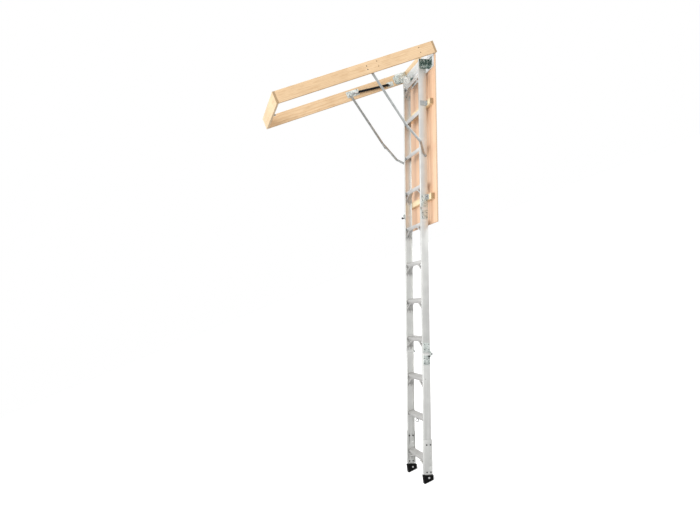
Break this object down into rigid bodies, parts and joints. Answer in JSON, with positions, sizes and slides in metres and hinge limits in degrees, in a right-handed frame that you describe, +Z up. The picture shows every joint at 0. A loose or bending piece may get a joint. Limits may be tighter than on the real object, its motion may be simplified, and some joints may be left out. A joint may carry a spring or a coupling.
{
  "type": "attic ladder",
  "caption": "Folding aluminium attic ladder on a plywood door, hung in a pine hatch frame with stop arms, gas struts and adjustable feet.",
  "frame": {"origin": "middle of the hatch opening in the plane of the underside of the frame", "axes": "+Z up, +X towards the hinge end of the frame, -Y the right-hand side of a climber; the ladder stands open and unfolded"},
  "size_m": [1.3823, 0.648, 3.1516],
  "materials": {
    "pine": "satin",
    "plywood": "satin",
    "aluminium": "satin",
    "galvanised": "spangled zinc",
    "zinc_steel": "plated",
    "strut_black": "gloss",
    "rod_steel": "polished",
    "rubber": "matt",
    "knob_black": "matt",
    "white_steel": "satin"
  },
  "bodies": {
    "frame": {"side_board_right": "pine", "side_board_left": "pine", "hinge_end_board": "pine", "latch_end_board": "pine", "frame_hinge_leaf": "white_steel", "hinge_pin": "zinc_steel", "arm_brackets": "galvanised", "strut_anchors": "galvanised", "corner_plates": "galvanised", "latch_plate": "zinc_steel", "frame_screws": "zinc_steel"},
    "door": {"door_hinge_leaf": "white_steel", "door_panel": "plywood", "door_battens": "pine", "upper_rail_right": "aluminium", "upper_rail_left": "aluminium", "upper_treads": "aluminium", "upper_braces": "aluminium", "upper_hinge_plates": "galvanised", "upper_fold_pins": "zinc_steel", "upper_rivets": "zinc_steel", "rail_bracket_right": "galvanised", "rail_bracket_left": "galvanised", "rail_clamps": "zinc_steel", "door_fasteners": "zinc_steel", "door_strike": "zinc_steel"},
    "middle_section": {"middle_rail_right": "aluminium", "middle_rail_left": "aluminium", "middle_treads": "aluminium", "middle_braces": "aluminium", "middle_head_plates": "galvanised", "middle_foot_plates": "galvanised", "lower_fold_pins": "zinc_steel", "middle_rivets": "zinc_steel"},
    "lower_section": {"lower_rail_right": "aluminium", "lower_rail_left": "aluminium", "lower_treads": "aluminium", "lower_braces": "aluminium", "lower_hinge_plates": "galvanised", "lower_rivets": "zinc_steel", "tread_loop": "zinc_steel"},
    "upper_lock_knob": {"upper_lock_knob": "knob_black"},
    "lower_lock_knob": {"lower_lock_knob": "knob_black"},
    "latch_lever": {"latch_lever": "zinc_steel"},
    "leg_right": {"leg_sleeve_right": "aluminium", "leg_bolts_right": "zinc_steel", "foot_bolt_right": "zinc_steel"},
    "foot_right": {"foot_right": "rubber"},
    "upper_arm_right": {"upper_arm_right": "zinc_steel"},
    "lower_arm_right": {"lower_arm_right": "zinc_steel"},
    "strut_cylinder_right": {"strut_cylinder_right": "strut_black"},
    "strut_rod_right": {"strut_rod_right": "rod_steel"},
    "leg_left": {"leg_sleeve_left": "aluminium", "leg_bolts_left": "zinc_steel", "foot_bolt_left": "zinc_steel"},
    "foot_left": {"foot_left": "rubber"},
    "upper_arm_left": {"upper_arm_left": "zinc_steel"},
    "lower_arm_left": {"lower_arm_left": "zinc_steel"},
    "strut_cylinder_left": {"strut_cylinder_left": "strut_black"},
    "strut_rod_left": {"strut_rod_left": "rod_steel"}
  },
  "joints": [
    {"name": "door", "type": "hinge", "parent": "frame", "child": "door", "pos_m": [0.6625, 0, -0.001], "axis": [0, 1, 0], "range_deg": [0, 62.5]},
    {"name": "fold_upper", "type": "hinge", "parent": "door", "child": "middle_section", "pos_m": [0.11187, 0, -1.09777], "axis": [0, 1, 0], "range_deg": [0, 180]},
    {"name": "fold_lower", "type": "hinge", "parent": "middle_section", "child": "lower_section", "pos_m": [-0.25695, 0, -2.17893], "axis": [0, -1, 0], "range_deg": [0, 180]},
    {"name": "upper_arm_right_turn", "type": "hinge", "parent": "frame", "child": "upper_arm_right", "pos_m": [0.107, -0.2995, 0.046], "axis": [0, 1, 0], "range_deg": [0, 108.87]},
    {"name": "lower_arm_right_turn", "type": "hinge", "parent": "door", "child": "lower_arm_right", "pos_m": [0.31793, -0.2, -0.72311], "axis": [0, 1, 0], "range_deg": [-105.7, 0]},
    {"name": "strut_right_turn", "type": "hinge", "parent": "frame", "child": "strut_cylinder_right", "pos_m": [0.481, -0.287, 0.022], "axis": [0, 1, 0], "range_deg": [-7.88, 0]},
    {"name": "strut_right_slide", "type": "slide", "parent": "strut_cylinder_right", "child": "strut_rod_right", "axis": [-0.9964, 0, 0.0845], "range_m": [0, 0.05529]},
    {"name": "leg_right_slide", "type": "slide", "parent": "lower_section", "child": "leg_right", "axis": [-0.3827, 0, -0.9239], "range_m": [-0.012, 0.065]},
    {"name": "foot_right_tilt", "type": "hinge", "parent": "leg_right", "child": "foot_right", "pos_m": [-0.64763, -0.185, -3.02806], "axis": [0, 1, 0], "range_deg": [-8, 8]},
    {"name": "upper_arm_left_turn", "type": "hinge", "parent": "frame", "child": "upper_arm_left", "pos_m": [0.107, 0.2995, 0.046], "axis": [0, 1, 0], "range_deg": [0, 108.87]},
    {"name": "lower_arm_left_turn", "type": "hinge", "parent": "door", "child": "lower_arm_left", "pos_m": [0.31793, 0.2, -0.72311], "axis": [0, 1, 0], "range_deg": [-105.7, 0]},
    {"name": "strut_left_turn", "type": "hinge", "parent": "frame", "child": "strut_cylinder_left", "pos_m": [0.481, 0.287, 0.022], "axis": [0, 1, 0], "range_deg": [-7.88, 0]},
    {"name": "strut_left_slide", "type": "slide", "parent": "strut_cylinder_left", "child": "strut_rod_left", "axis": [-0.9964, 0, 0.0845], "range_m": [0, 0.05529]},
    {"name": "leg_left_slide", "type": "slide", "parent": "lower_section", "child": "leg_left", "axis": [-0.3827, 0, -0.9239], "range_m": [-0.012, 0.065]},
    {"name": "foot_left_tilt", "type": "hinge", "parent": "leg_left", "child": "foot_left", "pos_m": [-0.64763, 0.185, -3.02806], "axis": [0, 1, 0], "range_deg": [-8, 8]},
    {"name": "upper_lock_knob_turn", "type": "hinge", "parent": "middle_section", "child": "upper_lock_knob", "pos_m": [0.10737, 0.2115, -1.11647], "axis": [-0.9239, 0, 0.3827], "continuous": true},
    {"name": "lower_lock_knob_turn", "type": "hinge", "parent": "lower_section", "child": "lower_lock_knob", "pos_m": [-0.28731, -0.2055, -2.18691], "axis": [0, -1, 0], "continuous": true},
    {"name": "latch_lever_turn", "type": "hinge", "parent": "frame", "child": "latch_lever", "pos_m": [-0.655, 0, 0.03], "axis": [0, -1, 0], "range_deg": [0, 20], "stiffness_Nm_per_rad": 0.05, "springref_deg": -11.46}
  ],
  "couplings": [
    {"joint": "fold_lower", "follows": "fold_upper", "ratio": 1},
    {"joint": "upper_arm_right_turn", "follows": "door", "ratio": 1.7388},
    {"joint": "lower_arm_right_turn", "follows": "door", "ratio": -1.6879},
    {"joint": "strut_right_turn", "follows": "door", "ratio": -0.12455},
    {"joint": "strut_right_slide", "follows": "door", "m_per_rad": 0.050227},
    {"joint": "upper_arm_left_turn", "follows": "door", "ratio": 1.7388},
    {"joint": "lower_arm_left_turn", "follows": "door", "ratio": -1.6879},
    {"joint": "strut_left_turn", "follows": "door", "ratio": -0.12455},
    {"joint": "strut_left_slide", "follows": "door", "m_per_rad": 0.050227}
  ]
}
